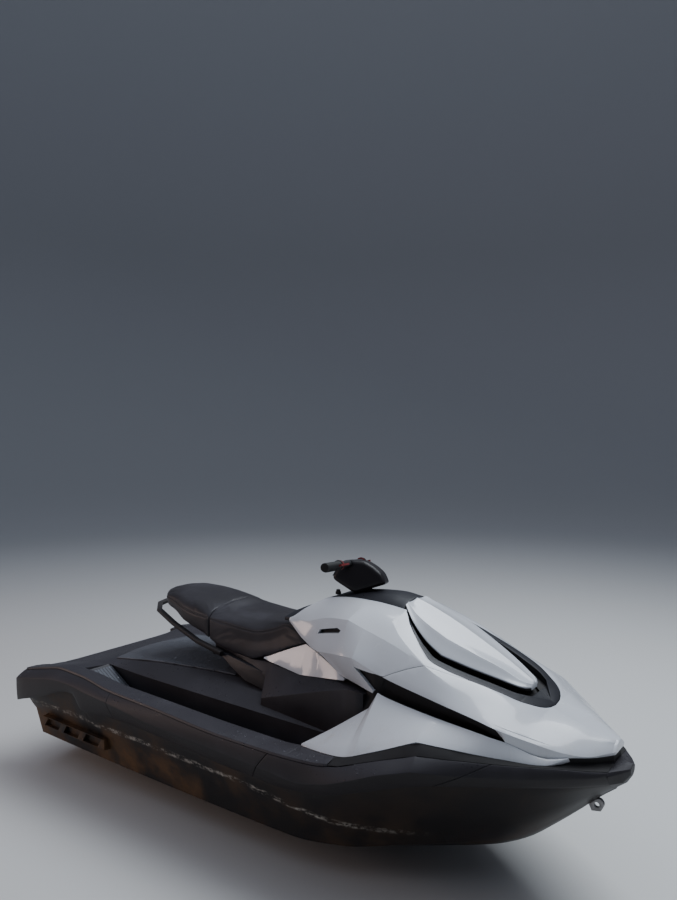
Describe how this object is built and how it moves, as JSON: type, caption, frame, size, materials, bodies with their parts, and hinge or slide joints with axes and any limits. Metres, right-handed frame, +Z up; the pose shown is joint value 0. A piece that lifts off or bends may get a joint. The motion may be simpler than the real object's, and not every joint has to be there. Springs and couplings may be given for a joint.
{
  "type": "personal watercraft",
  "caption": "Compact sit-on personal watercraft with vee hull, padded bumper, white panels, stepped seat, tilted handlebar, front storage lid and a steerable water-jet drive",
  "frame": {"origin": "on the centreline, amidships, at the waterline of the craft afloat and level", "axes": "+X to the bow, +Y to port, +Z up; the craft is stored level, with the handlebar turned to port as parked"},
  "size_m": [2.894, 1.2, 1.1811],
  "materials": {
    "hull": "very dark moulded hull with dried dirt and scuffs",
    "deck": "satin charcoal moulding",
    "bumper": "satin charcoal rubbery bumper",
    "white_skin": "glossy white panels",
    "trim": "satin black trim",
    "mat": "blue-grey closed-cell foam with fine grooves",
    "seat": "black stitched vinyl",
    "handle": "grained black moulding",
    "bar": "black powder coat",
    "grip": "ribbed black rubber",
    "lever": "red thumb lever, black on the other side",
    "display": "dark cover glass",
    "steel": "stainless steel",
    "pump": "dark cast pump housing",
    "case": "grey battery and motor case",
    "bin": "black moulded tub",
    "safety": "red safety switch"
  },
  "bodies": {
    "craft": {"hull": "hull", "powertrain": "case", "deck": "deck", "deck_bow": "deck", "storage_bin": "bin", "bumper_stern_left": "bumper", "bumper_stern_right": "bumper", "bumper_side_left": "bumper", "bumper_side_right": "bumper", "bumper_front_left": "bumper", "bumper_front_right": "bumper", "bumper_bow": "bumper", "wing_left": "white_skin", "wing_right": "white_skin", "fairing_left": "white_skin", "fairing_right": "white_skin", "hood": "white_skin", "lid_surround": "trim", "dash": "trim", "console": "trim", "pedestal": "deck", "seat_side_panel_left": "white_skin", "seat_side_panel_right": "white_skin", "kill_switch": "safety", "seat_front": "seat", "seat_rear": "seat", "grab_handle": "handle", "deck_mat": "mat", "footwell_mats": "mat", "sponson_left": "trim", "sponson_right": "trim", "bow_eye": "steel", "stern_eyes": "steel", "jet_pump": "pump", "ride_plate": "trim", "intake_grate": "trim"},
    "steering": {"steering_column": "bar", "handlebar": "bar", "bar_pod": "trim", "grips": "grip", "hand_levers": "lever", "display": "display"},
    "impeller": {"drive_shaft": "steel", "impeller": "steel"},
    "nozzle": {"nozzle": "pump"},
    "front_lid": {"front_lid": "white_skin"}
  },
  "joints": [
    {"name": "steering_turn", "type": "hinge", "parent": "craft", "child": "steering", "pos_m": [0.35, 0, 0.705], "axis": [-0.342, 0, 0.9397], "range_deg": [-50, 2]},
    {"name": "nozzle_turn", "type": "hinge", "parent": "craft", "child": "nozzle", "pos_m": [-1.2, 0, -0.165], "axis": [0, 0, 1], "range_deg": [-1.6, 40]},
    {"name": "impeller_spin", "type": "hinge", "parent": "craft", "child": "impeller", "pos_m": [-1.025, 0, -0.165], "axis": [1, 0, 0], "continuous": true},
    {"name": "front_lid_hinge", "type": "hinge", "parent": "craft", "child": "front_lid", "pos_m": [1.097, 0, 0.459], "axis": [0, 1, 0], "range_deg": [0, 60]}
  ],
  "couplings": [
    {"joint": "nozzle_turn", "follows": "steering_turn", "ratio": -0.8}
  ]
}
